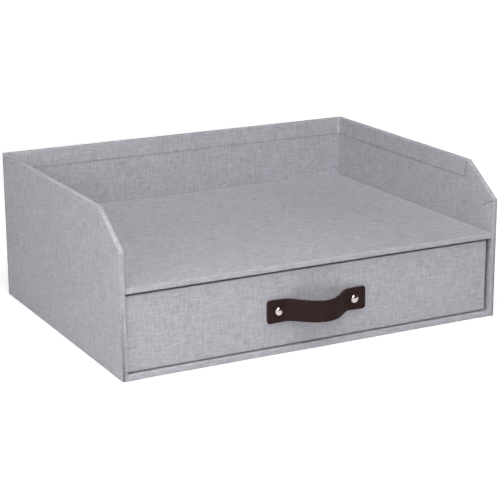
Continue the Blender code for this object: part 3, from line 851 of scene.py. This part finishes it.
def nickelFinish(name):
    sheet = Sheet(name)
    place = sheet.objectPlace()
    cloud = sheet.noise(place, nickelPlate["cloudScale"], 3.0)
    stretched = sheet.wire("ShaderNodeVectorMath", 0, {"operation": "MULTIPLY"}, {
        0: place, 1: nickelPlate["scratchStretch"],
    })
    scratches = sheet.noise(stretched, 1 / nickelPlate["scratchSize"], 4.0, 0.7)
    dull = sheet.between(scratches, *nickelPlate["scratchRange"])
    base = nickelPlate["colour"]
    roughness = nickelPlate["roughness"] + nickelPlate["dullRoughness"] * dull
    return sheet.surface({
        "Base Color": sheet.mix(cloud, darker(base, nickelPlate["darkShare"]), colour(*base)),
        "Metallic": 1.0,
        "Roughness": roughness + nickelPlate["cloudRoughness"] * cloud,
        "Normal": sheet.bump(scratches, nickelPlate["scratchHeight"]),
    })


# The stretches of a rivet's profile, as shares of the way from the top of its cap to the end of its tail
rivetProfile = {
    "dome": (0.0, 0.5),
    "rim": (0.5, 0.56),
    "underCap": (0.56, 0.62),
    "shank": (0.62, 0.7),
    "flare": (0.7, 0.76),
    "tail": (0.76, 1.0),
}


# Each named size is an input of the tree, which turns one rivet and sets it at both ends of the strap
def rivetTree(material, sizes):
    tree = bpy.data.node_groups.new("capRivets", "GeometryNodeTree")
    sockets = {}
    for name, value in sizes.items():
        kind = "NodeSocketInt" if isinstance(value, int) else "NodeSocketFloat"
        sockets[name] = tree.interface.new_socket(name, in_out="INPUT", socket_type=kind)
    tree.interface.new_socket("Geometry", in_out="OUTPUT", socket_type="NodeSocketGeometry")
    sheet = Sheet("capRivets", tree)
    given = sheet.node("NodeGroupInput")
    size = {name: Wire(sheet, given.outputs[name]) for name in sockets}
    grid = sheet.wire("GeometryNodeMeshGrid", "Mesh", None, {
        "Size X": 1.0, "Size Y": 1.0,
        "Vertices X": size["Ring Steps"] + 1, "Vertices Y": size["Profile Steps"] + 1,
    })
    spot = sheet.parts(sheet.wire("GeometryNodeInputPosition", 0))
    turn = (spot[0] + 0.5) * (2 * math.pi)
    down = spot[1] + 0.5

    def stretch(part):
        low, high = rivetProfile[part]
        return sheet.wire("ShaderNodeMapRange", 0, None, {"Value": down, "From Min": low, "From Max": high})

    cap = size["Cap Width"] / 2
    shank = size["Shank Width"] / 2
    tail = size["Tail Width"] / 2
    overCap = stretch("dome") * (math.pi / 2)
    overTail = stretch("tail") * (math.pi / 2)
    radius = cap * overCap.math("SINE") - (cap - shank) * stretch("underCap")
    radius = radius + (tail - shank) * stretch("flare") - tail * (1 - overTail.math("COSINE"))
    domed = overCap.math("COSINE").math("MAXIMUM", 0.0) ** size["Dome Shape"]
    height = size["Cap Rim"] + (size["Cap Height"] - size["Cap Rim"]) * domed
    height = height - size["Cap Rim"] * stretch("rim") - size["Shank Length"] * stretch("shank")
    height = height - size["Tail Height"] * overTail.math("SINE")
    place = sheet.vector(radius * turn.math("COSINE"), 0 - height, radius * turn.math("SINE"))
    turned = sheet.wire("GeometryNodeSetPosition", 0, None, {"Geometry": grid, "Position": place})
    closed = sheet.wire("GeometryNodeMergeByDistance", 0, None, {
        "Geometry": turned, "Distance": size["Merge Distance"],
    })
    ends = sheet.wire("GeometryNodeMeshLine", 0, {"mode": "END_POINTS"}, {
        "Count": 2,
        "Start Location": sheet.vector(0 - size["Spacing"] / 2, 0.0, 0.0),
        "Offset": sheet.vector(size["Spacing"] / 2, 0.0, 0.0),
    })
    copies = sheet.wire("GeometryNodeInstanceOnPoints", 0, None, {"Points": ends, "Instance": closed})
    real = sheet.wire("GeometryNodeRealizeInstances", 0, None, {"Geometry": copies})
    finished = sheet.wire("GeometryNodeSetMaterial", 0, None, {"Geometry": real, "Material": material})
    output = sheet.node("NodeGroupOutput")
    sheet.tree.links.new(finished.socket, output.inputs[0])
    return tree, sockets


def makeRivets(material):
    capFront, tailEnd = [corner[1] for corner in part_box("handle_rivet_left")]
    sizes = {
        "Cap Width": rivetSizes["capWidth"],
        "Cap Height": rivetSizes["capHeight"],
        "Cap Rim": rivetSizes["capRim"],
        "Dome Shape": rivetSizes["domeShape"],
        "Shank Width": rivetSizes["shankWidth"],
        "Shank Length": tailEnd - capFront - rivetSizes["capHeight"] - rivetSizes["tailHeight"],
        "Tail Width": rivetSizes["tailWidth"],
        "Tail Height": rivetSizes["tailHeight"],
        "Spacing": rivetSizes["spacing"],
        "Ring Steps": rivetSizes["ringSteps"],
        "Profile Steps": rivetSizes["profileSteps"],
        "Merge Distance": rivetSizes["mergeDistance"],
    }
    tree, sockets = rivetTree(material, sizes)
    maker = bpy.data.objects.new("rivetMaker", bpy.data.meshes.new("rivetMaker"))
    bpy.context.scene.collection.objects.link(maker)
    modifier = maker.modifiers.new("capRivets", "NODES")
    modifier.node_group = tree
    for name, value in sizes.items():
        modifier[sockets[name].identifier] = value
    mesh = plainMesh(maker)
    bpy.data.objects.remove(maker)
    mesh.name = "strapRivets"
    shape = bmesh.new()
    shape.from_mesh(mesh)
    bmesh.ops.remove_doubles(shape, verts=shape.verts, dist=rivetSizes["mergeDistance"])
    bmesh.ops.recalc_face_normals(shape, faces=shape.faces)
    for vert in shape.verts:
        vert.co += Vector((strapMiddle, capFront + rivetSizes["capHeight"], handleHeight))
    shape.to_mesh(mesh)
    shape.free()
    mesh.shade_smooth()
    mesh.set_sharp_from_angle(angle=rivetSizes["sharpAngle"])
    rivets = bpy.data.objects.new("strapRivets", mesh)
    bpy.context.scene.collection.objects.link(rivets)
    return rivets


nickelMaterial = nickelFinish("nickelPlate")
rivets = makeRivets(nickelMaterial)
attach(rivets, "drawer")
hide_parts("handle_rivet_left", "handle_rivet_right")
for node in ("rivet_washer_left", "rivet_washer_right"):
    assign(node, nickelMaterial)
print("rivets made:", len(rivets.data.polygons), "faces")
